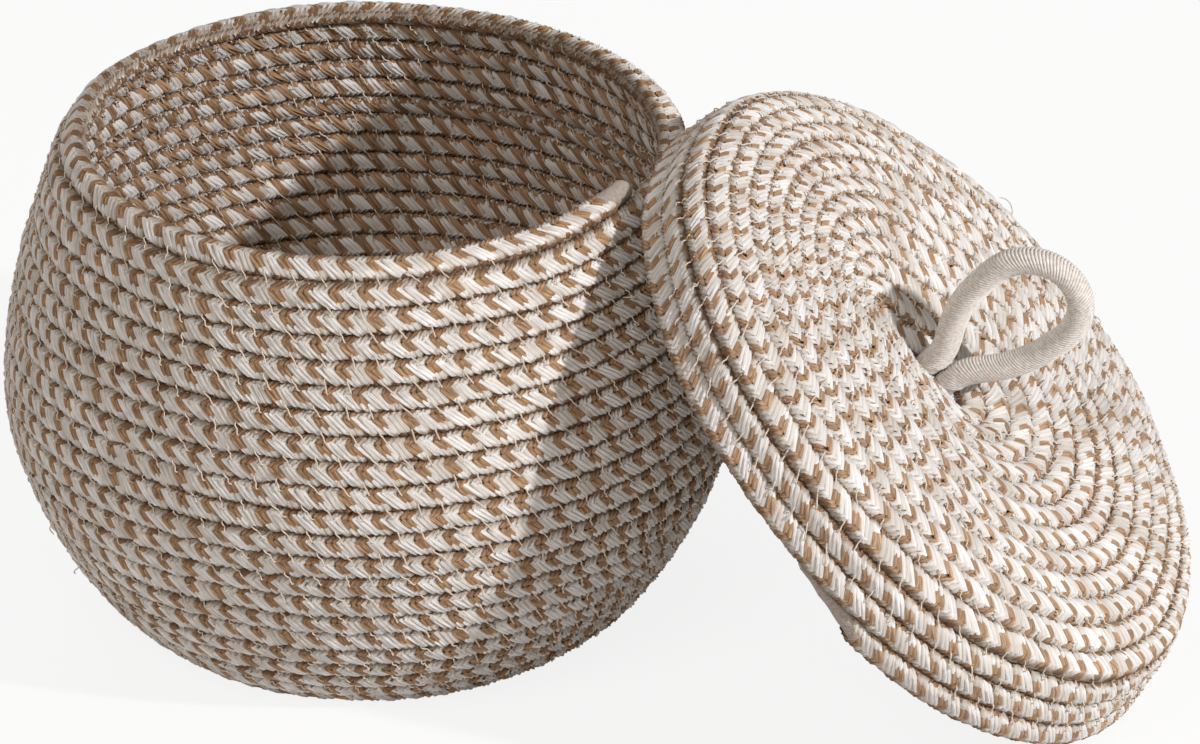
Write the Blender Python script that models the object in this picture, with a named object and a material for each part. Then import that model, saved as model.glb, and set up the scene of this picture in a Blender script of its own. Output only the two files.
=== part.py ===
"""Lidded storage basket of coiled rope, standing open with its lid leaning on the rim.

The origin is the centre of the base on the floor, +Z is up, and the lid leans along +X.
One rope winds from the base centre to the mouth, and a second one makes the whole lid.
A cord loop through the slot in the lid's middle is the handle.
"""

import math

import bmesh
import bpy
from mathutils import Matrix, Quaternion, Vector
from mathutils.bvhtree import BVHTree
from mathutils.geometry import interpolate_bezier

# Rope
ROW_PITCH = 0.0075  # about, from one row to the next: the rows fill their outline evenly
ROPE_THICKNESS = 0.0072  # through the wall, crest to crest
ROW_GAP = 0.0007  # between the flats of two rows of the basket
LID_ROW_GAP = 0.0009
POINTS_PER_TURN = 20
ROPE_END_LENGTH = 0.014  # whipped stretch at each rope's end

# Gaps between pieces
JOIN_GAP = 0.0003  # between two pieces of one cord
SEAT_GAP = 0.0003  # between the lid and what carries it

# Basket, measured to the middle of the rope
FOOT_RADIUS = 0.0725
FOOT_ANGLE = math.radians(35)  # the wall's slope where it leaves the floor
FOOT_ROUNDING = 0.017
BELLY_RADIUS = 0.1050
BELLY_HEIGHT = 0.0730
BELLY_ROUNDING_DOWN = 0.027
BELLY_ROUNDING_UP = 0.026
MOUTH_RADIUS = 0.0885
MOUTH_HEIGHT = 0.1450
MOUTH_ANGLE = math.radians(16)  # how far the wall tips inwards at the mouth
MOUTH_ROUNDING = 0.020
LAST_TURN_ANGLE = math.radians(50)  # the last turn steps inside the one below it
BASE_START_AZIMUTH = math.radians(0)
MOUTH_END_AZIMUTH = math.radians(-9)

# Lid, measured to the middle of the rope, with heights from its crown
LID_DISH_DEPTH = 0.0115
LID_DISH_ANGLE = math.radians(22)
LID_DISH_REACH = 0.030
LID_CROWN_RADIUS = 0.0600
LID_CROWN_REACH = 0.016
LID_SHOULDER_RADIUS = 0.0968
LID_SHOULDER_DROP = 0.0095
LID_SHOULDER_ROUNDING = 0.008
LID_SKIRT_RADIUS = 0.1023
LID_SKIRT_DEPTH = 0.0283
LID_START_AZIMUTH = math.radians(-75)  # beside the slot, near its lower end
LID_END_AZIMUTH = math.radians(-93)
LID_LEAN = math.radians(45.0)  # the lid's slope against the floor
LID_END_TUCK = 0.0040  # how far the rope's end is drawn in under the skirt
LID_END_TUCK_TURN = 0.12  # over this share of the last turn

# Slot in the middle of the lid, where the handle cord goes through
CORD_CLEARANCE = 0.0004
SLOT_PINCH = 0.0020  # the slot narrows by this much on each side at its empty end
SLOT_LOWER_END = -0.0014  # where the cord's lower leg stands, down the slope from the centre
SLOT_UPPER_END = -0.0310

# Handle cord
CORD_DIAMETER = 0.0080
LOOP_HEIGHT = 0.0490  # from its hinge line to the middle of the cord at the top
LOOP_RADIUS = 0.0145
LOOP_TWIST = math.radians(8)
LOOP_TWIST_HEIGHT = 0.022
HINGE_BELOW_CROWN = 0.0045
KNOT_WIDTH = 0.0250
KNOT_THICKNESS = 0.0140

ROPE_COLOUR = (0.74, 0.64, 0.53)
CORD_COLOUR = (0.82, 0.76, 0.69)
WHIPPING_COLOUR = (0.60, 0.54, 0.48)


def clear_scene():
    for obj in list(bpy.data.objects):
        bpy.data.objects.remove(obj, do_unlink=True)


def material(name, colour, roughness):
    made = bpy.data.materials.new(name)
    made.use_nodes = True
    shader = made.node_tree.nodes["Principled BSDF"]
    shader.inputs["Base Color"].default_value = (*colour, 1)
    shader.inputs["Roughness"].default_value = roughness
    shader.inputs["Metallic"].default_value = 0
    return made


# Outlines in the (radius, height) plane


def outline(segments, steps=48):
    """Points along a chain of Bezier segments, each paired with its length from the start."""
    points = []
    for knot_a, handle_a, handle_b, knot_b in segments:
        stretch = interpolate_bezier(knot_a, handle_a, handle_b, knot_b, steps)
        points += stretch if not points else stretch[1:]
    lengths = [0.0]
    for before, after in zip(points, points[1:]):
        lengths.append(lengths[-1] + (after - before).length)
    return list(zip(lengths, points))


def at_length(curve, length):
    for (start, before), (end, after) in zip(curve, curve[1:]):
        if length <= end:
            return before.lerp(after, (length - start) / (end - start))
    return curve[-1][1]


def direction(angle):
    """A unit vector in the (radius, height) plane, at this angle above level."""
    return Vector((math.cos(angle), math.sin(angle), 0))


def straight(start, end):
    return start, start.lerp(end, 1 / 3), start.lerp(end, 2 / 3), end


def basket_outline():
    """The wall from the base centre to the mouth, and on along the last turn's step inwards."""
    centre = Vector((0, ROPE_THICKNESS / 2, 0))
    foot = Vector((FOOT_RADIUS, ROPE_THICKNESS / 2, 0))
    belly = Vector((BELLY_RADIUS, BELLY_HEIGHT, 0))
    mouth = Vector((MOUTH_RADIUS, MOUTH_HEIGHT, 0))
    up = direction(math.pi / 2)
    at_mouth = direction(math.pi / 2 + MOUTH_ANGLE)
    step = direction(math.pi / 2 + LAST_TURN_ANGLE)
    return outline(
        [
            straight(centre, foot),
            (
                foot,
                foot + direction(FOOT_ANGLE) * FOOT_ROUNDING,
                belly - up * BELLY_ROUNDING_DOWN,
                belly,
            ),
            (
                belly,
                belly + up * BELLY_ROUNDING_UP,
                mouth - at_mouth * MOUTH_ROUNDING,
                mouth,
            ),
            straight(mouth, mouth + step * ROW_PITCH),
        ]
    )


def lid_outline():
    """The lid from the bottom of its dish over the crown and shoulder to the skirt's edge."""
    dish = Vector((0, -LID_DISH_DEPTH, 0))
    crown = Vector((LID_CROWN_RADIUS, 0, 0))
    shoulder = Vector((LID_SHOULDER_RADIUS, -LID_SHOULDER_DROP, 0))
    edge = Vector((LID_SKIRT_RADIUS, -LID_SKIRT_DEPTH, 0))
    level = direction(0)
    down = (edge - shoulder).normalized()
    return outline(
        [
            (
                dish,
                dish + direction(LID_DISH_ANGLE) * LID_DISH_REACH,
                crown - level * LID_CROWN_REACH,
                crown,
            ),
            (
                crown,
                crown + level * LID_CROWN_REACH,
                shoulder - down * LID_SHOULDER_ROUNDING,
                shoulder,
            ),
            straight(shoulder, edge),
        ]
    )


# Rope paths: one point for each step of a turn, so that a point's neighbours in the
# rows beside it are exactly one turn before and after it in the list


def stations(curve, first_length, start_azimuth, end_azimuth, sense):
    """(length, azimuth) from first_length to the outline's end, evenly along both.

    Seen from above, the rope runs outwards anticlockwise for sense 1, clockwise for -1.
    """
    whole = curve[-1][0]
    part_turn = sense * (end_azimuth - start_azimuth) / math.tau % 1
    turns = round((whole - first_length) / ROW_PITCH - part_turn) + part_turn
    count = round(turns * POINTS_PER_TURN)
    found = []
    for step in range(count + 1):
        length = first_length + (whole - first_length) * step / count
        turns_left = (count - step) / POINTS_PER_TURN
        found.append((length, end_azimuth - sense * turns_left * math.tau))
    return found


def basket_path(curve):
    path = []
    places = stations(curve, ROW_PITCH, BASE_START_AZIMUTH, MOUTH_END_AZIMUTH, 1)
    for length, azimuth in places:
        radius, height, _ = at_length(curve, length)
        path.append(
            Vector((radius * math.cos(azimuth), radius * math.sin(azimuth), height))
        )
    return path


def lid_path(curve):
    """Turns drawn out along the slot in the middle, and round at the shoulder.

    The rope's first stretch lies on one side of the slot and its second on the other, a
    quarter of a row nearer to and farther from the middle of the turns. So the turns stand
    that much off centre at the slot.
    """
    level_pitch = ROW_PITCH * math.cos(LID_DISH_ANGLE)
    beside_slot = CORD_DIAMETER / 2 + CORD_CLEARANCE + (ROW_PITCH - LID_ROW_GAP) / 2
    head_start = (LID_START_AZIMUTH + math.pi / 2) / math.tau
    first_radius = beside_slot - (1 / 4 + head_start) * level_pitch
    first_length = next(length for length, point in curve if point.x >= first_radius)
    whole = curve[-1][0]
    path = []
    places = stations(curve, first_length, LID_START_AZIMUTH, LID_END_AZIMUTH, -1)
    for length, azimuth in places:
        radius, height, _ = at_length(curve, length)
        inner_share = 1 - (length - first_length) / (whole - first_length)
        shift = SLOT_LOWER_END * inner_share
        if math.cos(azimuth) < 0:
            tip_share = min(1, -math.cos(azimuth) / 0.6)
            shift += (SLOT_UPPER_END - SLOT_LOWER_END) * inner_share * tip_share
            radius -= SLOT_PINCH * inner_share * tip_share
        turns_left = (whole - length) / ROW_PITCH
        radius -= LID_END_TUCK * max(0, 1 - turns_left / LID_END_TUCK_TURN) ** 2
        path.append(
            Vector(
                (
                    shift + radius * math.cos(azimuth),
                    radius * math.sin(azimuth) - inner_share * level_pitch / 4,
                    height,
                )
            )
        )
    return path


def rope_sections(path, gap):
    """Six corners of the rope at each point: a crest on each face of the wall, flats between rows."""
    sections = []
    for index, centre in enumerate(path):
        before = path[max(index - 1, 0)]
        after = path[min(index + 1, len(path) - 1)]
        along = (after - before).normalized()
        beside = []
        if index + POINTS_PER_TURN < len(path):
            beside.append(path[index + POINTS_PER_TURN] - centre)
        if index >= POINTS_PER_TURN:
            beside.append(centre - path[index - POINTS_PER_TURN])
        across = sum(beside, Vector())
        across = (across - along * across.dot(along)).normalized()
        side = across * (min(row.dot(across) for row in beside) - gap) / 2
        crest = along.cross(across) * ROPE_THICKNESS / 2
        sections.append(
            [
                centre + crest,
                centre + side + crest / 2,
                centre + side - crest / 2,
                centre - crest,
                centre - side - crest / 2,
                centre - side + crest / 2,
            ]
        )
    return sections


def moved(section, offset):
    return [corner + offset for corner in section]


def between(section_a, section_b, share):
    return [a.lerp(b, share) for a, b in zip(section_a, section_b)]


def scaled(section, factor):
    centre = sum(section, Vector()) / len(section)
    return [centre + (corner - centre) * factor for corner in section]


def least_gap(sections):
    """The smallest distance from a corner of the rope to the row beside it."""
    least = math.inf
    for index in range(len(sections) - POINTS_PER_TURN - 1):
        row = sections[index + POINTS_PER_TURN]
        for corner in sections[index]:
            for start, end in zip(row, row[1:] + row[:1]):
                edge = end - start
                share = max(0, min(1, (corner - start).dot(edge) / edge.length_squared))
                least = min(least, (corner - start - edge * share).length)
    return least


# Meshes


def finish(name, mesh, look, pose=None, smooth_angle=math.radians(65)):
    for polygon in mesh.polygons:
        polygon.use_smooth = True
    mesh.set_sharp_from_angle(angle=smooth_angle)
    obj = bpy.data.objects.new(name, mesh)
    obj.data.materials.append(look)
    bpy.context.scene.collection.objects.link(obj)
    if pose:
        obj.parent = pose
    return obj


def swept(name, sections, look, pose=None):
    """A closed tube through these sections, whose corners run the same way round in each."""
    shape = bmesh.new()
    rings = [[shape.verts.new(corner) for corner in section] for section in sections]
    for ring, following in zip(rings, rings[1:]):
        for index, corner in enumerate(ring):
            other = (index + 1) % len(ring)
            shape.faces.new((corner, following[index], following[other], ring[other]))
    shape.faces.new(rings[0])
    shape.faces.new(reversed(rings[-1]))
    bmesh.ops.recalc_face_normals(shape, faces=shape.faces)
    mesh = bpy.data.meshes.new(name)
    shape.to_mesh(mesh)
    shape.free()
    return finish(name, mesh, look, pose)


def base_plate(sections, look):
    """The base, whose edge follows the last flat turn of the rope and steps in where that turn began."""
    shape = bmesh.new()
    loops = []
    for corner in (0, 1, 2, 3):
        loops.append([shape.verts.new(section[corner]) for section in sections])
    for loop, other in zip(loops, loops[1:]):
        for index in range(len(loop)):
            after = (index + 1) % len(loop)
            shape.faces.new((loop[index], loop[after], other[after], other[index]))
    shape.faces.new(loops[0])
    shape.faces.new(loops[-1])
    bmesh.ops.recalc_face_normals(shape, faces=shape.faces)
    bmesh.ops.triangulate(shape, faces=shape.faces)
    mesh = bpy.data.meshes.new("base_coil")
    shape.to_mesh(mesh)
    shape.free()
    return finish("base_coil", mesh, look)


def whipped_end(name, last, tip, look, pose=None):
    """The bound end of a rope, from the section where the rope stops to its rounded tip."""
    middle = sum(last, Vector()) / len(last)
    run = sum(tip, Vector()) / len(tip) - middle
    start = moved(last, run.normalized() * JOIN_GAP)
    shares = ((0, 1), (0.55, 0.97), (0.82, 0.80), (0.95, 0.50), (1, 0.22))
    sections = [scaled(between(start, tip, share), size) for share, size in shares]
    return swept(name, sections, look, pose)


def parted(sections, last):
    """(the sections up to a cut short of the rope's end, the section at that end)."""
    start, end = sections[last - 1], sections[last]
    run = (end[0] - start[0]).length
    cut = between(start, end, 1 - ROPE_END_LENGTH / run)
    return sections[:last] + [cut], end


# Seats: the lid on the floor and against the rim, the knot against the lid's underside


def world_corners(obj):
    return [obj.matrix_world @ vert.co for vert in obj.data.vertices]


def surface(obj):
    faces = [tuple(polygon.vertices) for polygon in obj.data.polygons]
    return BVHTree.FromPolygons(world_corners(obj), faces)


def distance(corners, other):
    near = (other.find_nearest(corner) for corner in corners)
    return min(found[3] for found in near if found[3] is not None)


def seat_lid(pose):
    """Stands the lid on the floor, then slides it in until it all but touches the wall."""
    view = bpy.context.view_layer
    lid_pieces = [obj for obj in pose.children if obj.name.startswith("lid_")]
    wall = bpy.data.objects["wall_coil"]
    view.update()
    lowest = min(c.z for obj in lid_pieces for c in world_corners(obj))
    pose.location.z += SEAT_GAP - lowest
    wall_surface, wall_corners = surface(wall), world_corners(wall)
    for _ in range(40):
        view.update()
        gap = min(
            min(distance(world_corners(obj), wall_surface), distance(wall_corners, surface(obj)))
            for obj in lid_pieces
        )
        if gap < SEAT_GAP * 1.03:
            break
        pose.location.x -= (gap - SEAT_GAP) * 0.98
    print(f"lid: origin at x {pose.location.x * 1000:.2f}, z {pose.location.z * 1000:.2f} mm")
    print(f"lid: {gap * 1000:.2f} mm from the wall")


def seat_knot(knot):
    """Raises the knot until it all but touches the lid, and returns its middle's height."""
    view = bpy.context.view_layer
    lid_top = bpy.data.objects["lid_top_coil"]
    knot.location.z = -LID_DISH_DEPTH - ROPE_THICKNESS - KNOT_THICKNESS
    view.update()
    top_surface, top_corners = surface(lid_top), world_corners(lid_top)
    for _ in range(40):
        gap = min(
            distance(world_corners(knot), top_surface), distance(top_corners, surface(knot))
        )
        if gap < SEAT_GAP * 1.03:
            break
        knot.location.z += (gap - SEAT_GAP) * 0.98
        view.update()
    print(f"knot: {gap * 1000:.2f} mm from the lid")
    return knot.location.z


# The basket


def build_basket(rope, whipping):
    curve = basket_outline()
    path = basket_path(curve)
    sections = rope_sections(path, ROW_GAP)
    flat = [point.z < ROPE_THICKNESS / 2 + JOIN_GAP / 10 for point in path]
    first = flat.index(False) - 1
    base_plate(sections[first - POINTS_PER_TURN : first + 1], rope)
    wall, tip = parted(sections[first:], len(sections) - 1 - first)
    run = (path[first + 1] - path[first]).normalized()
    wall[0] = moved(wall[0], run * JOIN_GAP)
    print(f"wall: {(len(path) - first) / POINTS_PER_TURN:.1f} turns")
    print(f"wall: least gap between rows {least_gap(wall) * 1000:.2f} mm")
    swept("wall_coil", wall, rope)
    whipped_end("mouth_rope_end", wall[-1], tip, whipping)


# The lid, in its own frame: +X down its slope, +Z out of its top


def build_lid(rope, whipping, pose):
    curve = lid_outline()
    path = lid_path(curve)
    sections = rope_sections(path, LID_ROW_GAP)
    shoulder = next(i for i, point in enumerate(path) if point.z < -LID_SHOULDER_DROP)
    shoulder = next(
        i for i in range(shoulder, len(path)) if (len(path) - 1 - i) % POINTS_PER_TURN == 0
    )
    run = (path[shoulder + 1] - path[shoulder]).normalized()
    skirt, tip = parted(sections[shoulder:], len(sections) - 1 - shoulder)
    skirt[0] = moved(skirt[0], run * JOIN_GAP)
    print(f"lid: {len(path) / POINTS_PER_TURN:.1f} turns")
    print(f"lid: least gap between rows {least_gap(sections) * 1000:.2f} mm")
    swept("lid_top_coil", sections[: shoulder + 1], rope, pose)
    swept("lid_skirt_coil", skirt, rope, pose)
    whipped_end("lid_rope_end", skirt[-1], tip, whipping, pose)


def leg_places():
    """Where the cord's two legs stand in the slot, as places down the lid's slope."""
    lower = SLOT_LOWER_END
    return lower - CORD_DIAMETER - CORD_CLEARANCE, lower


def build_handle(cord, hinge):
    """The loop, in the frame of its hinge line, which runs along the slot."""
    upper, lower = leg_places()
    leg = (lower - upper) / 2
    top = LOOP_HEIGHT - LOOP_RADIUS
    rise = interpolate_bezier(
        Vector((leg, 0, 0)),
        Vector((leg, 0, top * 0.2)),
        Vector((LOOP_RADIUS, 0, top * 0.35)),
        Vector((LOOP_RADIUS, 0, top)),
        10,
    )
    arc = [
        Vector((LOOP_RADIUS * math.cos(a), 0, top + LOOP_RADIUS * math.sin(a)))
        for a in (math.radians(18 * step) for step in range(1, 10))
    ]
    radius = CORD_DIAMETER / 2
    # The leg's foot is a half ball about the hinge line
    foot = [(angle, Vector((leg, 0, -radius * math.sin(angle)))) for angle in (1.35, 1.0, 0.5)]
    side = [(math.cos(angle), point) for angle, point in foot] + [(1, p) for p in rise]
    mirrored = [(size, Vector((-p.x, 0, p.z))) for size, p in reversed(side)]
    route = side + [(1, p) for p in arc] + mirrored
    curve = bpy.data.curves.new("handle_loop", "CURVE")
    curve.dimensions = "3D"
    curve.bevel_depth = radius
    curve.bevel_resolution = 3
    curve.use_fill_caps = True
    spline = curve.splines.new("POLY")
    spline.points.add(len(route) - 1)
    for knot, (size, point) in zip(spline.points, route):
        turn = LOOP_TWIST * max(0, min(1, point.z / LOOP_TWIST_HEIGHT))
        turned = Matrix.Rotation(turn, 3, "Z") @ point
        knot.co = (*turned, 1)
        knot.radius = size
    spline.use_smooth = True
    obj = bpy.data.objects.new("handle_loop", curve)
    curve.materials.append(cord)
    bpy.context.scene.collection.objects.link(obj)
    obj.parent = hinge


def build_knot(cord, pose):
    """The cord's legs through the slot and the knot that stops them under the lid."""
    upper, lower = leg_places()
    shape = bmesh.new()
    bmesh.ops.create_uvsphere(shape, u_segments=24, v_segments=12, radius=1)
    for vert in shape.verts:
        azimuth = math.atan2(vert.co.y, vert.co.x)
        lobes = 1 + 0.07 * math.cos(3 * azimuth + 2.5 * vert.co.z)
        vert.co = Vector(
            (
                (upper + lower) / 2 + vert.co.x * lobes * KNOT_WIDTH / 2,
                vert.co.y * lobes * KNOT_WIDTH / 2,
                vert.co.z * KNOT_THICKNESS / 2,
            )
        )
    mesh = bpy.data.meshes.new("handle_knot")
    shape.to_mesh(mesh)
    shape.free()
    knot = finish("handle_knot", mesh, cord, pose)
    middle = seat_knot(knot)
    top = -HINGE_BELOW_CROWN - CORD_DIAMETER / 2 - JOIN_GAP
    for place in (upper, lower):
        leg = bmesh.new()
        bmesh.ops.create_cone(
            leg,
            cap_ends=True,
            segments=12,
            radius1=CORD_DIAMETER / 2,
            radius2=CORD_DIAMETER / 2,
            depth=top - middle,
            matrix=Matrix.Translation((place, 0, (top + middle) / 2)),
        )
        leg_mesh = bpy.data.meshes.new("knot_leg")
        leg.to_mesh(leg_mesh)
        leg.free()
        helper = bpy.data.objects.new("knot_leg", leg_mesh)
        helper.hide_render = True
        helper.display_type = "WIRE"
        bpy.context.scene.collection.objects.link(helper)
        helper.parent = pose
        join = knot.modifiers.new("leg", "BOOLEAN")
        join.operation = "UNION"
        join.solver = "EXACT"
        join.object = helper


def main():
    clear_scene()
    rope = material("sewn_rope", ROPE_COLOUR, 0.9)
    cord = material("handle_cord", CORD_COLOUR, 0.85)
    whipping = material("whipping", WHIPPING_COLOUR, 0.8)
    build_basket(rope, whipping)
    pose = bpy.data.objects.new("lid_pose", None)
    bpy.context.scene.collection.objects.link(pose)
    pose.rotation_mode = "QUATERNION"
    pose.rotation_quaternion = Quaternion((0, 1, 0), LID_LEAN)
    pose.location.x = 3 * BELLY_RADIUS
    build_lid(rope, whipping, pose)
    seat_lid(pose)
    hinge = bpy.data.objects.new("loop_hinge", None)
    bpy.context.scene.collection.objects.link(hinge)
    hinge.parent = pose
    hinge.location = (sum(leg_places()) / 2, 0, -HINGE_BELOW_CROWN)
    build_knot(cord, pose)
    build_handle(cord, hinge)
    bpy.context.view_layer.update()
    place = hinge.matrix_world
    print("hinge at", *(round(v, 5) for v in place.translation))
    print("slope", *(round(v, 5) for v in place.col[0].xyz))
    print("axis", *(round(v, 5) for v in place.col[2].xyz))


main()
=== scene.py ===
"""Looks of the lidded basket of coiled rope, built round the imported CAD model.

The ropes are plaited from white and brown strands. One short length of plait is modelled
once, repeated along a straight line and laid along each rope's winding path. The sewing
threads, the bound ends and the handle cord are made in the same way.
"""

import math

import bpy
from mathutils import Matrix, Vector, noise
from mathutils.geometry import interpolate_bezier


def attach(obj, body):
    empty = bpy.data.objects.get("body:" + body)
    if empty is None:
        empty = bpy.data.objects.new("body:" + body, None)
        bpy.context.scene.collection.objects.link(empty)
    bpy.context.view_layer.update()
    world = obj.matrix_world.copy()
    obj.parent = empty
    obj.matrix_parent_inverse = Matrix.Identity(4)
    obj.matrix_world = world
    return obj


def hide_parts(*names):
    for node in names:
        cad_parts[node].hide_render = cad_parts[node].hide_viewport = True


bl_info = {
    "name": "Coiled Rope Basket",
    "version": (1, 0, 0),
    "blender": (4, 5, 0),
    "location": "View3D > Sidebar > Basket",
    "description": "Builds the plaited rope, sewing and handle cord of a lidded basket",
    "category": "Object",
}

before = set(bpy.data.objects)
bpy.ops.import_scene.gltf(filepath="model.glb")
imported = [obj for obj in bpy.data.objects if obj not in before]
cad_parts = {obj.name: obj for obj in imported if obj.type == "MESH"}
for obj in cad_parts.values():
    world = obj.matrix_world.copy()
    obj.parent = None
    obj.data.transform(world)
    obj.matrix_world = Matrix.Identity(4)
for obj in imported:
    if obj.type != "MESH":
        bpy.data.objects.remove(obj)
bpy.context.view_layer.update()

# Outlines of the basket and the lid, measured to the middle of the rope
FOOT_RADIUS, FOOT_ANGLE, FOOT_ROUNDING = 0.0725, math.radians(35), 0.017
BELLY_RADIUS, BELLY_HEIGHT = 0.1050, 0.0730
BELLY_ROUNDING_DOWN, BELLY_ROUNDING_UP = 0.027, 0.026
MOUTH_RADIUS, MOUTH_HEIGHT = 0.0885, 0.1450
MOUTH_ANGLE, MOUTH_ROUNDING = math.radians(16), 0.020
LAST_TURN_ANGLE = math.radians(50)
BASE_START_AZIMUTH, MOUTH_END_AZIMUTH = 0.0, math.radians(-9)
BASE_START_SHARE = 0.03  # of a row's pitch, from the middle of the base

LID_DISH_DEPTH, LID_DISH_ANGLE, LID_DISH_REACH = 0.0115, math.radians(22), 0.030
LID_CROWN_RADIUS, LID_CROWN_REACH = 0.0600, 0.016
LID_SHOULDER_RADIUS, LID_SHOULDER_DROP, LID_SHOULDER_ROUNDING = 0.0968, 0.0095, 0.008
LID_SKIRT_RADIUS, LID_SKIRT_DEPTH = 0.1023, 0.0283
LID_START_AZIMUTH, LID_END_AZIMUTH = math.radians(-75), math.radians(-96)
LID_END_TUCK, LID_END_TUCK_TURN = 0.0040, 0.12
LID_ROW_GAP = 0.0009
CORD_CLEARANCE, SLOT_PINCH, SLOT_SINK = 0.0004, 0.0054, 0.0015
ROPE_ON_CORD = -0.0006
SLOT_LOWER_END, SLOT_UPPER_END, SLOT_TIP_REACH = -0.0014, -0.0310, 0.6
PINCH_STEEPNESS = 5
BASKET_END_LENGTH, LID_END_LENGTH = 0.014, 0.024

# The lid leans on the basket; its own frame has +X down its slope and +Z out of its top
LID_POSE = Matrix.Translation((0.17963, 0, 0.09467)) @ Matrix.Rotation(math.radians(45), 4, "Y")
LOOP_HEIGHT, LOOP_RADIUS = 0.049, 0.0145
LOOP_TWIST, LOOP_TWIST_HEIGHT = math.radians(8), 0.022
LOOP_FOOT_RISE, LOOP_SIDE_RISE = 0.28, 0.35
LOOP_FOOT_DEPTH, LOOP_FEET_GAP = 0.0030, 0.0003
CORD_THICKNESS, CORD_CORE_SHARE = 0.0080, 0.89
RIB_THICKNESS, RIB_SLANT, RIB_MARGIN = 0.00090, math.radians(38), 0.0012
HINGE_BELOW_CROWN = 0.0045
KNOT_MIDDLE, KNOT_RADIUS, KNOT_LOBE, KNOT_RISE = -0.0262, 0.0056, 0.0030, 0.0030

# The front of the mouth hangs a little lower than its back
SAG_AZIMUTH, SAG_START_HEIGHT = math.radians(-74), 0.055

POINTS_PER_TURN, PLAITS_IN_UNIT, STITCHES_IN_UNIT, APEX_RISE = 72, 6, 7, 0.30
FLOOR_GAP, FLOOR_LIFT = 0.0003, 0.0001
CORE_STEP, CORE_OVERLAP, CORE_SINK = 0.006, 0.00035, 1.4

# Stray of the rows: bends per metre in space and along the rope, and the rope's own share
WANDER_SEED, WANDER_BENDS, OWN_BENDS, OWN_SHARE = 7, 28, 30, 0.25
WANDER_FULL_HEIGHT = 0.03
TWIST, TWIST_BENDS = 0.5, 11

# Yarns of the plait: lean in degrees and shade, each with its stray by bundle and by yarn
YARN_LEAN, YARN_SHADE = (42, 16, 11), (0.88, 0.26, 0.24)
YARN_OVERLAP, YARN_STRAY, BUNDLE_STRAY = 1.9, 0.16, 0.13
OUTER_YARN_DROP, BUNDLE_RISE_STRAY = 0.22, 0.30
INNER_WHITE_WIDTH = 0.61
# Where the painted shade beside the seams begins and how far it runs, in shares of half a row's
# pitch
SEAM_SHADE_START, SEAM_SHADE_WIDTH = 0.90, 0.10

# Thread wound over the ropes' ends
WHIPPING_THICKNESS, WHIPPING_SPACING, WHIPPING_SLANT = 0.0007, 0.00058, math.radians(9)
WHIPPING_OVERLAP, WHIPPING_STEP = 0.0025, 0.0011
END_CLOSING, END_THICKNESS = 0.56, 0.86  # shares of a row's pitch

LOOSE_THREAD_THICKNESS, GOLDEN_SHARE = 0.0004, 0.618


class BasketSizes(bpy.types.PropertyGroup):
    row_pitch: bpy.props.FloatProperty(
        name="Row Pitch", description="From one row of rope to the next",
        default=0.0075, unit="LENGTH",
    )
    rope_thickness: bpy.props.FloatProperty(
        name="Rope Thickness", description="Thickness of the rope through the wall",
        default=0.0072, unit="LENGTH",
    )
    plait_length: bpy.props.FloatProperty(
        name="Plait Length",
        description="Length of rope that one white and one brown strand take",
        default=0.0081, unit="LENGTH",
    )
    strand_rise: bpy.props.FloatProperty(
        name="Strand Rise", description="How far the middle of a strand stands above its edges",
        default=0.00125, unit="LENGTH",
    )
    wander: bpy.props.FloatProperty(
        name="Wander", description="How far the rows stray from an even coil",
        default=0.0007, unit="LENGTH",
    )
    mouth_sag: bpy.props.FloatProperty(
        name="Mouth Sag", description="How far the front of the mouth hangs down",
        default=0.0036, unit="LENGTH",
    )
    thread_thickness: bpy.props.FloatProperty(
        name="Thread Thickness", description="Thickness of the sewing thread",
        default=0.00045, unit="LENGTH",
    )
    stitch_spacing: bpy.props.FloatProperty(
        name="Stitch Spacing", description="From one stitch to the next along a seam",
        default=0.0079, unit="LENGTH",
    )
    cord_thickness: bpy.props.FloatProperty(
        name="Cord Thickness", description="Thickness of the handle cord",
        default=CORD_THICKNESS, unit="LENGTH",
    )


class BasketColours(bpy.types.PropertyGroup):
    white: bpy.props.FloatVectorProperty(
        name="White Strand", description="Colour of the undyed strands",
        default=(0.79, 0.755, 0.73), size=3, subtype="COLOR",
    )
    brown: bpy.props.FloatVectorProperty(
        name="Brown Strand", description="Colour of the dyed strands",
        default=(0.355, 0.218, 0.122), size=3, subtype="COLOR",
    )
    # The core shows only deep in the seams, and its dark colour is painted shade there
    core: bpy.props.FloatVectorProperty(
        name="Rope Core", description="Colour deep between the strands",
        default=(0.13, 0.09, 0.065), size=3, subtype="COLOR",
    )
    thread: bpy.props.FloatVectorProperty(
        name="Sewing Thread", description="Colour of the thread that joins the rows",
        default=(0.72, 0.62, 0.52), size=3, subtype="COLOR",
    )
    whipping: bpy.props.FloatVectorProperty(
        name="Whipping", description="Colour of the thread that binds the rope's ends",
        default=(0.40, 0.34, 0.30), size=3, subtype="COLOR",
    )
    cord: bpy.props.FloatVectorProperty(
        name="Handle Cord", description="Colour of the handle cord",
        default=(0.74, 0.69, 0.65), size=3, subtype="COLOR",
    )
    floor: bpy.props.FloatVectorProperty(
        name="Floor", description="Colour of the floor and backdrop",
        default=(0.90, 0.90, 0.90), size=3, subtype="COLOR",
    )


# Selecting and shaping


def deselect():
    for obj in list(bpy.context.selected_objects):
        obj.select_set(False)


def activate(*objs):
    deselect()
    for obj in objs:
        obj.select_set(True)
    bpy.context.view_layer.objects.active = objs[0]


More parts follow.
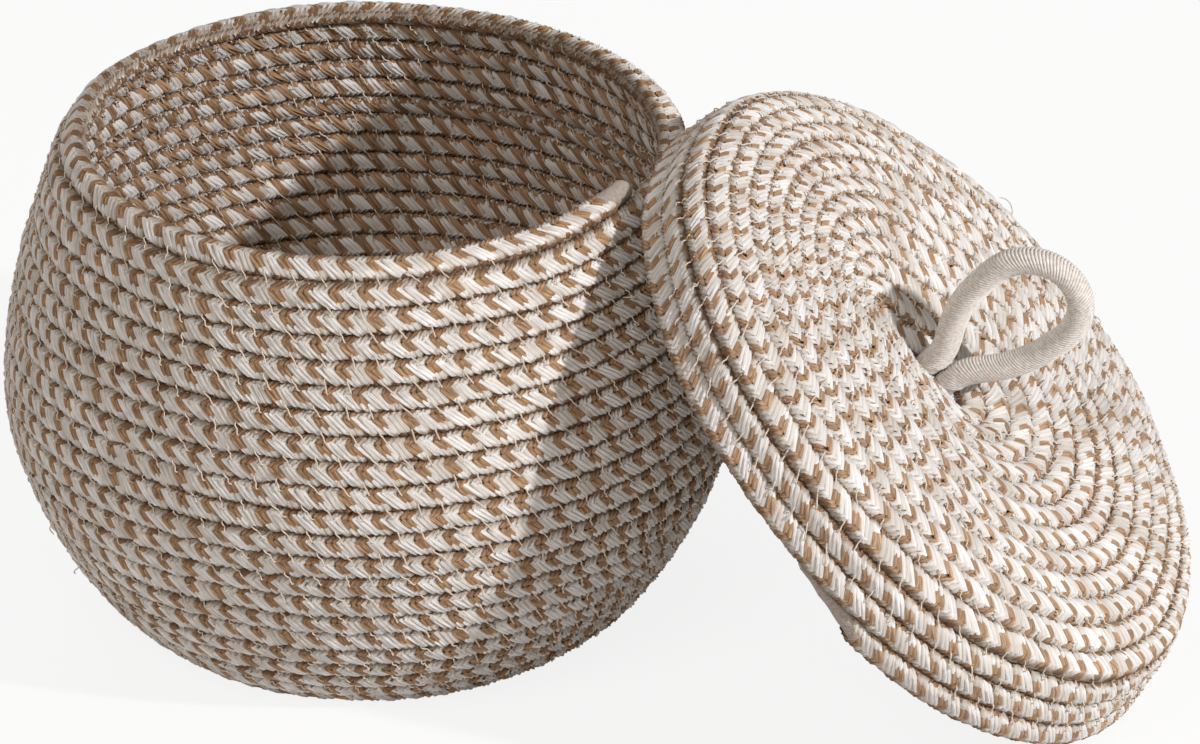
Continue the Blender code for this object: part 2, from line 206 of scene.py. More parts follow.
def shape(obj, test, size=None, shift=None):
    """Scales about the origin, then moves, the vertices that the test picks."""
    activate(obj)
    mesh = obj.data
    picked = [test(vert.co) for vert in mesh.vertices]
    mesh.vertices.foreach_set("select", picked)
    for parts in (mesh.edges, mesh.polygons):
        parts.foreach_set("select", [all(picked[i] for i in part.vertices) for part in parts])
    bpy.ops.object.mode_set(mode="EDIT")
    if size:
        bpy.ops.transform.resize(value=size, center_override=(0, 0, 0))
    if shift:
        bpy.ops.transform.translate(value=shift)
    bpy.ops.object.mode_set(mode="OBJECT")


def apply_modifiers(obj):
    activate(obj)
    for modifier in list(obj.modifiers):
        bpy.ops.object.modifier_apply(modifier=modifier.name)


def place(obj, matrix):
    """Puts the object's place, turn and size in its mesh."""
    obj.data.transform(matrix)
    obj.data.update()
    return obj


def copied(obj, name):
    twin = obj.copy()
    twin.data = obj.data.copy()
    twin.name = name
    bpy.context.scene.collection.objects.link(twin)
    return twin


def joined(objs, name):
    activate(*objs)
    bpy.ops.object.join()
    objs[0].name = name
    return objs[0]


def remove(*objs):
    for obj in objs:
        bpy.data.objects.remove(obj)


def dress(obj, nodes, body):
    """Tells the frame which nodes the piece replaces and which body it rides.

    What would sink into the floor is pressed flat on it.
    """
    for vert in obj.data.vertices:
        vert.co.z = max(vert.co.z, FLOOR_LIFT)
    if nodes:
        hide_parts(*nodes)
    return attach(obj, body)


# Materials


class Value:
    """A shader value on which an expression adds Math nodes."""

    def __init__(self, look, socket):
        self.look, self.socket = look, socket

    def maths(self, operation, *values):
        return self.look.node("Math", {"operation": operation}, dict(enumerate(values)))

    def __add__(self, other):
        return self.maths("ADD", self, other)

    def __sub__(self, other):
        return self.maths("SUBTRACT", self, other)

    def __rsub__(self, other):
        return self.maths("SUBTRACT", other, self)

    def __mul__(self, other):
        return self.maths("MULTIPLY", self, other)

    def __pow__(self, other):
        return self.maths("POWER", self, other)

    def __abs__(self):
        return self.maths("ABSOLUTE", self)

    __radd__, __rmul__ = __add__, __mul__


class Look:
    """A material under construction."""

    def __init__(self, name, world=None):
        self.material = world or bpy.data.materials.new(name)
        self.material.use_nodes = True
        self.tree = self.material.node_tree
        self.shader = self.tree.nodes.get("Principled BSDF")
        self.output = self.tree.nodes["World Output" if world else "Material Output"]

    def node(self, kind, settings=None, values=None, output=0):
        made = self.tree.nodes.new("ShaderNode" + kind)
        for key, setting in (settings or {}).items():
            if key == "stops":
                elements = made.color_ramp.elements
                while len(elements) < len(setting):
                    elements.new(0.5)
                for element, (position, colour) in zip(elements, setting):
                    element.position, element.color = position, colour
            else:
                setattr(made, key, setting)
        for key, value in (values or {}).items():
            self.put(made.inputs[key], value)
        return Value(self, made.outputs[output])

    def put(self, socket, value):
        if isinstance(value, Value):
            self.tree.links.new(value.socket, socket)
        else:
            socket.default_value = value

    def finish(self, **values):
        for name, value in values.items():
            self.put(self.shader.inputs[name.replace("_", " ")], value)
        return self.material

    def vector(self, operation, first, second):
        values = {0: first, "Scale" if operation == "SCALE" else 1: second}
        return self.node("VectorMath", {"operation": operation}, values)

    def tint(self, colour, factor):
        """The colour times a grey value, browner where it is darker: painted warm bounce light
        where the grey value is painted shade.
        """
        parts = {0: factor, 1: factor ** 1.2, 2: factor ** 1.45}
        return self.vector("MULTIPLY", colour, self.node("CombineXYZ", None, parts))


def tinted(colour, factor):
    return (*(min(1, channel * factor) for channel in colour), 1)


def strand_look(name, colour, dark, light, groove):
    """Soft cotton fibres lying along each strand of the plait."""
    look = Look(name)
    along = look.node("UVMap", {"uv_map": "strand"})
    position = look.node("TexCoord", None, None, 3)
    spread = look.vector("SCALE", position, 220.0)
    fine = look.vector("MULTIPLY", along, (1.3, 6.0, 0))
    grain = look.vector("ADD", fine, spread)
    fibres = look.node("TexNoise", None, {"Vector": grain, "Scale": 1.0, "Detail": 2.0})
    stops = [
        (0.30, tinted(colour, dark)), (0.48, tinted(colour, 0.92)), (0.68, tinted(colour, light)),
    ]
    shade = look.node("ValToRGB", {"stops": stops}, {0: fibres})
    across = look.node("SeparateXYZ", None, {0: along}, 1)
    # Painted shade: each yarn darkens towards its edges, in the grooves between the yarns, by the
    # given groove share
    edge = (abs(across - 0.5) * 2) ** 2
    patches = look.node("TexNoise", None, {"Vector": position, "Scale": 60.0, "Detail": 1.0})
    # The attribute "shade" carries each yarn's own tone and the painted shade beside the seams
    tone_and_seam_shade = look.node("Attribute", {"attribute_name": "shade"}, None, 2)
    factor = (1 - edge * groove) * (tone_and_seam_shade + patches * 0.24)
    bump = look.node("Bump", None, {"Height": fibres, "Strength": 0.7, "Distance": 0.0004})
    return look.finish(Base_Color=look.tint(shade, factor), Roughness=0.85, Normal=bump)


def fibre_look(name, colour, stretch, depth, dark=0.8):
    """Fine fibres and shades of a thread or cord, this many to the metre."""
    look = Look(name)
    position = look.node("TexCoord", None, None, 3)
    grain = look.vector("SCALE", position, stretch)
    fibres = look.node("TexNoise", None, {"Vector": grain, "Scale": 1.0, "Detail": 2.0})
    stops = [
        (0.32, tinted(colour, dark)), (0.5, tinted(colour, 0.95)), (0.7, tinted(colour, 1.08)),
    ]
    shade = look.node("ValToRGB", {"stops": stops}, {0: fibres})
    bump = look.node("Bump", None, {"Height": fibres, "Strength": 0.5, "Distance": depth})
    return look.finish(Base_Color=shade, Roughness=0.85, Normal=bump)


def plain_look(name, colour):
    return Look(name).finish(Base_Color=(*colour, 1), Roughness=0.9)


# Rope paths, by the same rules as the CAD model


def outline(segments, steps=48):
    points = []
    for knot_a, handle_a, handle_b, knot_b in segments:
        stretch = interpolate_bezier(knot_a, handle_a, handle_b, knot_b, steps)
        points += stretch if not points else stretch[1:]
    lengths = [0.0]
    for before, after in zip(points, points[1:]):
        lengths.append(lengths[-1] + (after - before).length)
    return list(zip(lengths, points))


def at_length(curve, length):
    """(point, slope angle) of the outline this far along it."""
    for (start, before), (end, after) in zip(curve, curve[1:]):
        if length <= end:
            break
    run = after - before
    share = (length - start) / (end - start)
    return before + run * share, math.atan2(run.y, run.x)


def direction(angle):
    return Vector((math.cos(angle), math.sin(angle), 0))


def round_axis(radius, azimuth, height):
    return Vector((radius * math.cos(azimuth), radius * math.sin(azimuth), height))


def straight(start, end):
    return start, start.lerp(end, 1 / 3), start.lerp(end, 2 / 3), end


def basket_outline(rope, pitch):
    centre = Vector((0, rope / 2, 0))
    foot = Vector((FOOT_RADIUS, rope / 2, 0))
    belly = Vector((BELLY_RADIUS, BELLY_HEIGHT, 0))
    mouth = Vector((MOUTH_RADIUS, MOUTH_HEIGHT, 0))
    up, at_mouth = direction(math.pi / 2), direction(math.pi / 2 + MOUTH_ANGLE)
    step = direction(math.pi / 2 + LAST_TURN_ANGLE)
    foot_handle = foot + direction(FOOT_ANGLE) * FOOT_ROUNDING
    return outline([
        straight(centre, foot),
        (foot, foot_handle, belly - up * BELLY_ROUNDING_DOWN, belly),
        (belly, belly + up * BELLY_ROUNDING_UP, mouth - at_mouth * MOUTH_ROUNDING, mouth),
        straight(mouth, mouth + step * pitch),
    ])


def lid_outline():
    dish = Vector((0, -LID_DISH_DEPTH, 0))
    crown = Vector((LID_CROWN_RADIUS, 0, 0))
    shoulder = Vector((LID_SHOULDER_RADIUS, -LID_SHOULDER_DROP, 0))
    edge = Vector((LID_SKIRT_RADIUS, -LID_SKIRT_DEPTH, 0))
    level, down = direction(0) * LID_CROWN_REACH, (edge - shoulder).normalized()
    dish_handle = dish + direction(LID_DISH_ANGLE) * LID_DISH_REACH
    return outline([
        (dish, dish_handle, crown - level, crown),
        (crown, crown + level, shoulder - down * LID_SHOULDER_ROUNDING, shoulder),
        straight(shoulder, edge),
    ])


def stations(curve, pitch, first_length, start_azimuth, end_azimuth, sense):
    """(length, azimuth, turns left) evenly along the outline and round the turns."""
    whole = curve[-1][0]
    part_turn = sense * (end_azimuth - start_azimuth) / math.tau % 1
    turns = round((whole - first_length) / pitch - part_turn) + part_turn
    count = round(turns * POINTS_PER_TURN)
    for step in range(count + 1):
        length = first_length + (whole - first_length) * step / count
        turns_left = (count - step) / POINTS_PER_TURN
        yield length, end_azimuth - sense * turns_left * math.tau, turns_left


def sag(height, azimuth, depth):
    """How much lower the wall stands here than in the even basket."""
    rise = max(0, (height - SAG_START_HEIGHT) / (MOUTH_HEIGHT - SAG_START_HEIGHT))
    return depth * min(1, rise) ** 1.5 * max(0, math.cos(azimuth - SAG_AZIMUTH)) ** 1.3


def basket_path(sizes):
    """(point, outward slope) at each step of the basket's rope, strayed."""
    pitch = sizes.row_pitch
    curve = basket_outline(sizes.rope_thickness, pitch)
    path = []
    for length, azimuth, _ in stations(
        curve, pitch, pitch * BASE_START_SHARE, BASE_START_AZIMUTH, MOUTH_END_AZIMUTH, 1
    ):
        (radius, height, _), slope = at_length(curve, length)
        height -= sag(height, azimuth, sizes.mouth_sag) - FLOOR_GAP
        path.append((round_axis(radius, azimuth, height), slope - math.pi / 2))
    return strayed(path, sizes)


def lid_path(sizes):
    """The same for the lid's rope, upright about the lid's own axis."""
    curve, pitch = lid_outline(), sizes.row_pitch
    level_pitch = pitch * math.cos(LID_DISH_ANGLE)
    beside_slot = sizes.cord_thickness / 2 + ROPE_ON_CORD + (pitch - LID_ROW_GAP) / 2
    head_start = (LID_START_AZIMUTH + math.pi / 2) / math.tau
    first_radius = beside_slot - (1 / 4 + head_start) * level_pitch
    first_length = next(length for length, point in curve if point.x >= first_radius)
    whole = curve[-1][0]
    path = []
    for length, azimuth, turns_left in stations(
        curve, pitch, first_length, LID_START_AZIMUTH, LID_END_AZIMUTH, -1
    ):
        (radius, height, _), slope = at_length(curve, length)
        inner = 1 - (length - first_length) / (whole - first_length)
        shift = SLOT_LOWER_END * inner
        if math.cos(azimuth) < 0:
            tip = min(1, -math.cos(azimuth) / SLOT_TIP_REACH)
            shift += (SLOT_UPPER_END - SLOT_LOWER_END) * inner * tip
            above_cord = max(0, min(1, -PINCH_STEEPNESS * math.cos(azimuth) - 1))
            radius -= SLOT_PINCH * inner * above_cord
            height -= SLOT_SINK * max(0, 1 - (length - first_length) / pitch) * above_cord
        radius -= LID_END_TUCK * max(0, 1 - turns_left / LID_END_TUCK_TURN) ** 2
        x, y = radius * math.cos(azimuth) + shift, radius * math.sin(azimuth)
        path.append((Vector((x, y - inner * level_pitch / 4, height)), slope + math.pi / 2))
    return strayed(path, sizes)


def strayed(path, sizes):
    """The path with the rows' slow wander, which neighbouring rows share in part.

    noise_vector takes its seed from the clock if none is set, and then no two runs are alike.
    """
    noise.seed_set(WANDER_SEED)
    length, made = 0.0, []
    for index, (point, facing) in enumerate(path):
        if index:
            length += (point - path[index - 1][0]).length
        stray = noise.noise_vector(point * WANDER_BENDS) * sizes.wander
        stray += noise.noise_vector(Vector((length * OWN_BENDS, 9, 4))) * sizes.wander * OWN_SHARE
        if point.z > 0:  # the basket's rows stay level near the floor
            stray.z *= min(1, point.z / WANDER_FULL_HEIGHT)
        made.append((point + stray, facing))
    return made


def seam_path(path):
    """The middle of the seam between each row and the next."""
    return [
        (before[0].lerp(after[0], 0.5), (before[1] + after[1]) / 2)
        for before, after in zip(path, path[POINTS_PER_TURN:])
    ]


def new_curve(name, count, kind="POLY", twist_mode="MINIMUM"):
    """(object, points) of a curve with this many points."""
    data = bpy.data.curves.new(name, "CURVE")
    data.dimensions, data.twist_mode = "3D", twist_mode
    spline = data.splines.new(kind)
    points = spline.bezier_points if kind == "BEZIER" else spline.points
    points.add(count - 1)
    made = bpy.data.objects.new(name, data)
    bpy.context.scene.collection.objects.link(made)
    return made, points


def path_curve(name, path, sense, pitch=None, twist=0):
    """The path as a curve, whose cross-section faces outwards, with slow stray turns.

    Where neighbouring rows come closer than the pitch, the curve thins what is laid on it.
    """
    made, knots = new_curve(name, len(path), twist_mode="Z_UP")
    length = 0.0
    for index, (point, facing) in enumerate(path):
        if index:
            length += (point - path[index - 1][0]).length
        beside = [
            (path[other][0] - point).length
            for other in (index - POINTS_PER_TURN, index + POINTS_PER_TURN)
            if 0 <= other < len(path)
        ]
        turned = twist * noise.noise(Vector((length * TWIST_BENDS, 3.7, sense)))
        knots[index].co = (*point, 1)
        knots[index].tilt = sense * (math.pi / 2 - facing) + turned
        if pitch:
            knots[index].radius = min(1, min(beside) / pitch)
    return made, length


def laid(name, unit, unit_length, curve, first, last, merge=False):
    """Copies of a unit in a row, bent along a curve from its first to its last length."""
    piece = copied(unit, name)
    place(piece, Matrix.Translation((first, 0, 0)))
    row = piece.modifiers.new("row", "ARRAY")
    row.use_relative_offset, row.use_constant_offset = False, True
    row.count = max(1, round((last - first) / unit_length))
    row.constant_offset_displace = ((last - first) / row.count, 0, 0)
    row.use_merge_vertices, row.merge_threshold = merge, unit_length / 20
    bend = piece.modifiers.new("bend", "CURVE")
    bend.object, bend.deform_axis = curve, "POS_X"
    apply_modifiers(piece)
    return piece


# The plait


def yarn_leaf():
    """The part of one yarn that shows between its two crossings, lying along X.

    It comes from under the leaf before it at -X and dives under the next one at +X.
    """
    deselect()
    bpy.ops.mesh.primitive_grid_add(
        x_subdivisions=4, y_subdivisions=2, size=1, location=(0, 0, 0)
    )
    leaf = bpy.context.object
    leaf.name = "yarn_leaf"
    leaf.data.uv_layers[0].name = "strand"
    shape(leaf, lambda co: abs(co.y) < 0.1, shift=(0, 0, 1))
    shape(leaf, lambda co: co.x < -0.2, size=(1, 1, 0.95))
    shape(leaf, lambda co: co.x < -0.4, size=(1, 0.85, 0.70))
    shape(leaf, lambda co: co.x > 0.2, size=(1, 0.97, 0.88))
    shape(leaf, lambda co: co.x > 0.4, size=(1, 0.70, 0.20))
    return leaf


def uneven(base, by_bundle, by_yarn, bundle, yarn):
    return base + by_bundle * bundle + by_yarn * yarn


def section_curve(half_width, half_height, squareness=0.90):
    """A closed curve round the rope, from its back over its upper side to its front and on."""
    made, knots = new_curve("section", 4, "BEZIER", "Z_UP")
    made.data.resolution_u = 24
    spline = made.data.splines[0]
    spline.use_cyclic_u = True
    reaches = (("co", 0), ("handle_left", -squareness), ("handle_right", squareness))
    for knot, (x, y) in zip(knots, ((0, -1), (1, 0), (0, 1), (-1, 0))):
        knot.handle_left_type = knot.handle_right_type = "FREE"
        for attribute, reach in reaches:
            at = ((x - y * reach) * half_width, (y + x * reach) * half_height, 0)
            setattr(knot, attribute, at)
    return made, spline.calc_length()


def plait_unit(name, sizes, looks, brown_width=0.42, brown_reach=0.74, painted_seam_shade=0.25):
    """A few lengths of plait, wound round a rounded-square section, facing +Z along +X.

    Laid out flat first, with the girth along X, the rope along Y and the outside up. Each
    yarn shows once on each quarter of the girth; the first two quarters face inwards. On the
    outside the tips of white yarns cover the ends of the brown ones, and inside the other way
    round. Beside the seams the plait darkens, as painted shade, to the share of its own colour
    that the last argument gives.
    """
    rise, pitch = sizes.strand_rise, sizes.plait_length
    half_width, half_height = sizes.row_pitch / 2 - rise * 0.35, sizes.rope_thickness / 2 - rise
    section, girth = section_curve(half_width, half_height)
    quarter = girth / 4
    leaf = yarn_leaf()
    leaves = []

    def add_yarns(look, period, column, start, width, yarns, reach, away, lift):
        """Yarns side by side over a share of one plait's length, off the quarter's middle."""
        bundle = noise.noise(Vector((period * 3.1 + start * 7.3, column * 2.3, away + 0.5)))
        sign = -1 if column % 2 == 0 else 1
        for yarn in range(yarns):
            seed = Vector((period * 1.9 + start * 5.1, column * 2.9 + 0.4, yarn * 3.3 + away))
            stray = noise.noise(seed)
            lean = math.radians(uneven(*YARN_LEAN, bundle, stray))
            bulge = 1 - OUTER_YARN_DROP * abs(yarn - (yarns - 1) / 2)
            size = (
                quarter / math.cos(lean) * reach * (1 + YARN_STRAY * stray),
                pitch * width / yarns * math.cos(lean) * YARN_OVERLAP,
                rise * bulge * lift * (1 + BUNDLE_RISE_STRAY * bundle),
            )
            side = (away * sign + YARN_STRAY * stray) * quarter
            share = period + start + width * (yarn + 0.5) / yarns + BUNDLE_STRAY * bundle
            along = share * pitch + side * sign * math.tan(lean)
            twin = copied(leaf, f"yarn_{period}_{column}_{len(leaves)}")
            twin.data.materials.append(look)
            shade = twin.data.attributes.new("shade", "FLOAT", "POINT")
            level = uneven(*YARN_SHADE, bundle, stray)
            shade.data.foreach_set("value", [level] * len(twin.data.vertices))
            across = (column + 0.5 - APEX_RISE) * quarter + side
            middle = Matrix.Translation((across, along, 0))
            turn = Matrix.Rotation(sign * lean, 4, "Z")
            place(twin, middle @ turn @ Matrix.Diagonal((*size, 1)))
            leaves.append(twin)

    white, brown = looks
    inner, outer = INNER_WHITE_WIDTH, 1 - brown_width
    for period in range(PLAITS_IN_UNIT):
        for column in (0, 1):
            add_yarns(brown, period, column, inner, 1 - inner, 2, 1.25, 0, 1)
            add_yarns(white, period, column, 0, inner, 3, 1.06, -0.10, 1.05)
            add_yarns(brown, period, column, 0, inner, 2, 0.42, 0.40, 1)
        for column in (2, 3):
            add_yarns(white, period, column, 0, outer, 3, 1.25, 0, 1)
            add_yarns(brown, period, column, outer, brown_width, 2, brown_reach, -0.12, 0.95)
            add_yarns(white, period, column, outer, brown_width, 2, 0.66, 0.31, 1.05)
    unit = joined(leaves, name)
    place(unit, Matrix.Rotation(math.pi / 2, 4, "X"))
    wrap = unit.modifiers.new("wrap", "CURVE")
    wrap.object, wrap.deform_axis = section, "POS_X"
    apply_modifiers(unit)
    place(unit, Matrix(((0, 0, 1, 0), (1, 0, 0, 0), (0, 1, 0, 0), (0, 0, 0, 1))))
    # Painted shade: the plait darkens beside the seams, where the neighbouring rows would shade
    # it
    seam = sizes.row_pitch / 2
    for vert, shade in zip(unit.data.vertices, unit.data.attributes["shade"].data):
        share = (abs(vert.co.y) / seam - SEAM_SHADE_START) / SEAM_SHADE_WIDTH
        share = min(1, max(0, share))
        shade.value *= 1 - (1 - painted_seam_shade) * share
    remove(leaf, section)
    activate(unit)
    bpy.ops.object.shade_smooth()
    return unit


def plaited_rope(units, curve, last, sizes):
    """The rope's plait in several pieces: (name, unit, share of the length)."""
    unit_length = PLAITS_IN_UNIT * sizes.plait_length
    pieces, first, total = [], 0.0, 0.0
    for name, unit, share in units:
        total += share
        end = round(last * total / unit_length) * unit_length if total < 0.999 else last
        pieces.append(laid(name, unit, unit_length, curve, first, end))
        first = end
    return pieces


def rope_core(name, curve, length, sizes, look):
    """The middle of the rope, wide enough to close the seams between the rows; its dark colour is
    painted shade in the seams.
    """
    deselect()
    bpy.ops.mesh.primitive_cylinder_add(
        vertices=10, radius=1, depth=CORE_STEP, end_fill_type="NOTHING",
        rotation=(0, math.pi / 2, 0), location=(CORE_STEP / 2, 0, 0),
    )
    unit = bpy.context.object
    unit.data.materials.append(look)
    bpy.ops.object.transform_apply(location=True, rotation=True, scale=True)
    half_width = sizes.row_pitch / 2 + CORE_OVERLAP
    half_height = sizes.rope_thickness / 2 - CORE_SINK * sizes.strand_rise
    shape(unit, lambda co: True, size=(1, half_width, half_height))
    core = laid(name, unit, CORE_STEP, curve, 0, length, merge=True)
    activate(core)
    bpy.ops.object.mode_set(mode="EDIT")
    bpy.ops.mesh.select_all(action="SELECT")
    bpy.ops.mesh.fill_holes(sides=0)
    bpy.ops.object.mode_set(mode="OBJECT")
    bpy.ops.object.shade_smooth()
    remove(unit)
    return core


def rope_looks(colours, part, white_range, brown_range, painted_light_share):
    """The looks of the strands and the core; a range is its darkest, lightest and painted groove
    shade.

    The brown strands and the core are lightened towards white by this share, as painted light
    where a lamp falls full on the rope.
    """
    pale = Vector(colours.white)
    brown, core = (Vector(dark).lerp(pale, painted_light_share) for dark in (colours.brown, colours.core))
    return (
        strand_look(f"{part}_white_strand", colours.white, *white_range),
        strand_look(f"{part}_brown_strand", brown, *brown_range),
        plain_look(f"{part}_rope_core", core),
    )


def cut_short(path, length):
    """The path without its last stretch of this length."""
    left = length
    while (path[-1][0] - path[-2][0]).length < left:
        left -= (path[-1][0] - path[-2][0]).length
        path = path[:-1]
    (end, facing), (before, _) = path[-1], path[-2]
    return path[:-1] + [(end.lerp(before, left / (end - before).length), facing)]


class BASKET_OT_basket_rope(bpy.types.Operator):
    """Lays the plaited rope of the basket from the middle of the base to the mouth"""

    bl_idname = "basket.basket_rope"
    bl_label = "Basket Rope"

    def execute(self, context):
        sizes = context.scene.basket_sizes
        white, brown, dark = rope_looks(
            context.scene.basket_colours, "basket", (0.72, 1.10, 0.85), (0.50, 1.50, 0.92), 0
        )
        unit = plait_unit("plait_unit", sizes, (white, brown))
        path = cut_short(basket_path(sizes), BASKET_END_LENGTH)
        curve, length = path_curve("basket_path", path, 1, sizes.row_pitch, TWIST)
        names = ("rope_base", "rope_wall_1", "rope_wall_2", "rope_wall_3", "rope_wall_4")
        pieces = plaited_rope([(part, unit, 0.2) for part in names], curve, length, sizes)
        for piece in pieces:
            node = "base_coil" if piece == pieces[0] else "wall_coil"
            dress(piece, (node,), "basket")
        core = rope_core("rope_core_basket", curve, length, sizes, dark)
        dress(core, ("base_coil", "wall_coil"), "basket")
        remove(unit, curve)
        return {"FINISHED"}


class BASKET_OT_lid_rope(bpy.types.Operator):
    """Lays the plaited rope of the lid from the slot to the edge of the skirt"""

    bl_idname = "basket.lid_rope"
    bl_label = "Lid Rope"

    def execute(self, context):
        sizes = context.scene.basket_sizes
        # The lid's looks are flatter than the basket's, with paler brown and core and shallower
        # painted groove shade: painted light for the lamp that falls full on the lid's top
        white, brown, dark = rope_looks(
            context.scene.basket_colours, "lid", (0.77, 0.94, 0.60), (0.85, 1.60, 0.60), 0.05
        )
        # The top's painted seam shade is far lighter than the skirt's, as painted light on the
        # face that the lamp lights full
        top = plait_unit("top_plait", sizes, (white, brown), 0.32, 0.72, 0.95)
        skirt = plait_unit("skirt_plait", sizes, (white, brown))
        path = cut_short(lid_path(sizes), LID_END_LENGTH)
        curve, length = path_curve("lid_path", path, -1, sizes.row_pitch, TWIST)
        units = (
            ("rope_lid_1", top, 0.36), ("rope_lid_2", top, 0.28), ("rope_lid_3", skirt, 0.36),
        )
        pieces = plaited_rope(units, curve, length, sizes)
        core = rope_core("rope_core_lid", curve, length, sizes, dark)
        for piece in (*pieces, core):
            place(piece, LID_POSE)
            dress(piece, ("lid_top_coil", "lid_skirt_coil"), "lid")
        remove(top, skirt, curve)
        return {"FINISHED"}


# The sewing


def thread_curve(name, points, radii, twist_mode="MINIMUM"):
    made, knots = new_curve(name, len(points), twist_mode=twist_mode)
    for knot, point, radius in zip(knots, points, radii):
        knot.co, knot.radius = (*point, 1), radius
    return made


def tube(name, points, thickness, look, radii=None, sides=0):
    """A thread or cord through these points, closed at both ends."""
    made = thread_curve(name, points, radii or [1] * len(points))
    made.data.bevel_depth, made.data.bevel_resolution = thickness / 2, sides
    made.data.use_fill_caps = True
    made.data.materials.append(look)
    activate(made)
    bpy.ops.object.convert(target="MESH")
    bpy.ops.object.shade_smooth()
    return bpy.context.object


# A stitch's way over a seam: (up the wall, out of the wall)
STITCH = (
    (0.0021, 0.0026), (0.0016, 0.0036), (0.0008, 0.0034), (0, 0.0028),
    (-0.0008, 0.0034), (-0.0016, 0.0036), (-0.0021, 0.0026),
)


def stitch_unit(sizes, look):
    """A few slanting stitches across a seam that runs along X, with the outside up."""
    stitches = []
    for index in range(STITCHES_IN_UNIT):
        seed = Vector((index * 2.7, 1.9, 0.4))
        lean = 0.60 + 0.70 * noise.noise(seed)
        reach = 0.88 + 0.35 * noise.noise(seed * 1.9)
        middle = (index + 0.5 + 0.35 * noise.noise(seed * 2.3)) * sizes.stitch_spacing
        points = [(middle - lean * up * reach, up * reach, out) for up, out in STITCH]
        stitches.append(tube(f"stitch_{index}", points, sizes.thread_thickness, look))
    return joined(stitches, "stitch_unit")


def sewn(name, path, sense, sizes, look):
    """The stitches along every seam of a rope's path, on the outside and on the inside."""
    seams = seam_path(path)
    curve, length = path_curve(f"{name}_seam", seams, sense)
    unit = stitch_unit(sizes, look)
    step = STITCHES_IN_UNIT * sizes.stitch_spacing
    outside = laid(f"{name}_outside", unit, step, curve, 0, length - step)
    place(unit, Matrix.Rotation(math.pi, 4, "X"))
    inside = laid(f"{name}_inside", unit, step, curve, sizes.stitch_spacing / 2, length - step)
    remove(unit, curve)
    return outside, inside


class BASKET_OT_sewing(bpy.types.Operator):
    """Sews the rows of the basket and of the lid together with slanting stitches"""

    bl_idname = "basket.sewing"
    bl_label = "Sewing Thread"

    def execute(self, context):
        sizes = context.scene.basket_sizes
        look = fibre_look("sewing_thread", context.scene.basket_colours.thread, 2500.0, 0.0001)
        for piece in sewn("stitches_basket", basket_path(sizes), 1, sizes, look):
            dress(piece, (), "basket")
        for piece in sewn("stitches_lid", lid_path(sizes), -1, sizes, look):
            dress(place(piece, LID_POSE), (), "lid")
        return {"FINISHED"}


# Bound ends of the ropes


def ring(name, radius, thickness, slant, look, sides=5, around=22):
    """One turn of thread round the X axis, slightly aslant."""
    deselect()
    bpy.ops.mesh.primitive_torus_add(
        major_segments=around, minor_segments=sides, major_radius=radius,
        minor_radius=thickness / 2, rotation=(0, math.pi / 2, 0), location=(0, 0, 0),
    )
    made = bpy.context.object
    made.name = name
    made.data.materials.append(look)
    activate(made)
    bpy.ops.object.transform_apply(location=False, rotation=True, scale=False)
    place(made, Matrix.Diagonal((1, 1 / math.cos(slant), 1, 1)) @ Matrix.Rotation(slant, 4, "Z"))
    bpy.ops.object.shade_smooth()
    return made


def last_stretch(path, length, overlap):
    """The path's end, from a little before its last stretch of this length."""
    kept = [path[-1][0]]
    left = length + overlap
    for point, _ in reversed(path[:-1]):
        step = (kept[-1] - point).length
        if step >= left:
            kept.append(kept[-1].lerp(point, left / step))
            break
        kept.append(point)
        left -= step
    kept.reverse()
    return kept


def resampled(points, step):
    """Points this far apart along a line of straight runs."""
    made, carried = [points[0]], 0.0
    for before, after in zip(points, points[1:]):
        run = (after - before).length
        while carried + step <= run:
            carried += step
            made.append(before.lerp(after, carried / run))
        carried -= run
    return made


def length_of(points):
    return sum((after - before).length for before, after in zip(points, points[1:]))


def bound_end(name, path, length, taper, sizes, look):
    """Thread wound over the last stretch of the rope, which thins towards the row beside it."""
    run = resampled(last_stretch(path, length, WHIPPING_OVERLAP), WHIPPING_STEP)
    beside = [point for point, _ in path[-POINTS_PER_TURN - 8 : -POINTS_PER_TURN + 3]]
    count = len(run)
    radii = [1 - (1 - taper) * (index / (count - 1)) ** 0.7 for index in range(count)]
    points = []
    for point, radius in zip(run, radii):
        near = min(beside, key=lambda other: (other - point).length)
        closer = (near - point).normalized() * (1 - radius) * sizes.row_pitch * END_CLOSING
        points.append(point + closer)
    radii[-3:] = [radii[-3] * 0.94, radii[-2] * 0.75, radii[-1] * 0.35]
    body = tube(f"{name}_body", points, sizes.row_pitch * END_THICKNESS, look, radii, 3)
    curve = thread_curve(f"{name}_path", points, radii, "Z_UP")
    radius = sizes.row_pitch * END_THICKNESS / 2
    turn = ring("turn", radius, WHIPPING_THICKNESS, WHIPPING_SLANT, look)
    reach = length_of(points)
    turns = laid(f"{name}_turns", turn, WHIPPING_SPACING, curve, 0.0004, reach - 0.0019)
    remove(turn, curve)
    return joined([body, turns], name)


class BASKET_OT_rope_ends(bpy.types.Operator):
    """Binds the end of the basket's rope and the end of the lid's rope with thread"""

    bl_idname = "basket.rope_ends"
    bl_label = "Bound Rope Ends"

    def execute(self, context):
        sizes = context.scene.basket_sizes
        look = fibre_look("whipping", context.scene.basket_colours.whipping, 900.0, 0.0002)
        path = basket_path(sizes)
        end = bound_end("bound_end_basket", path, BASKET_END_LENGTH, 0.9, sizes, look)
        dress(end, ("mouth_rope_end",), "basket")
        path = lid_path(sizes)
        end = bound_end("bound_end_lid", path, LID_END_LENGTH, 0.35, sizes, look)
        dress(place(end, LID_POSE), ("lid_rope_end",), "lid")
        return {"FINISHED"}


# The handle


def leg_places():
    """Where the cord's two legs stand in the slot, as places down the lid's slope."""
    return SLOT_LOWER_END - CORD_THICKNESS - CORD_CLEARANCE, SLOT_LOWER_END


